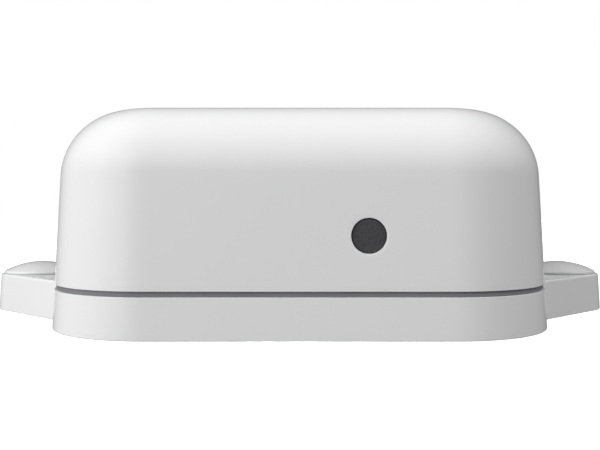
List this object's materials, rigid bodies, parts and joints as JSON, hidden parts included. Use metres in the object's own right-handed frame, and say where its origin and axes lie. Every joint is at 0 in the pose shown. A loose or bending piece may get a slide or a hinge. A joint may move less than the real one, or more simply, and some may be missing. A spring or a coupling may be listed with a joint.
{
  "type": "temperature and humidity sensor",
  "caption": "Sealed square wall-mounted temperature and humidity sensor with a domed white cover, capped screw ears and a dark round sensing port.",
  "frame": {"origin": "centre of the flat back, on the wall plane", "axes": "+X along the line through both mounting holes, +Z out of the wall, the sensing port faces -Y"},
  "size_m": [0.1142, 0.08, 0.0349],
  "materials": {
    "white_housing": "fine moulded texture, semi-matt",
    "grey_seal": "matt elastomer",
    "dark_filter": "fine porous",
    "black_rubber": "matt",
    "black_plastic": "semi-matt",
    "green_board": "solder mask, satin",
    "plated_steel": "nickel plated",
    "bright_tin": "tin plated",
    "can_aluminium": "drawn, bright",
    "cell_sleeve": "shrink sleeve, glossy"
  },
  "bodies": {
    "root": {"base": "white_housing", "cover": "white_housing", "screw_cap_left": "white_housing", "screw_cap_right": "white_housing", "seal": "grey_seal", "port_filter": "dark_filter", "sensor_boot": "black_rubber", "screw_seals": "black_rubber", "filter_ring": "black_plastic", "header_body": "black_plastic", "battery_holder": "black_plastic", "microcontroller": "black_plastic", "sensor_chip": "black_plastic", "circuit_board": "green_board", "sensor_board": "green_board", "radio_module": "green_board", "cover_screws": "plated_steel", "board_screws": "plated_steel", "positive_contact": "plated_steel", "negative_contact": "plated_steel", "antenna": "plated_steel", "radio_shield": "bright_tin", "crystal": "bright_tin", "header_pins": "bright_tin", "capacitors": "can_aluminium", "battery_cell": "cell_sleeve"}
  },
  "joints": []
}
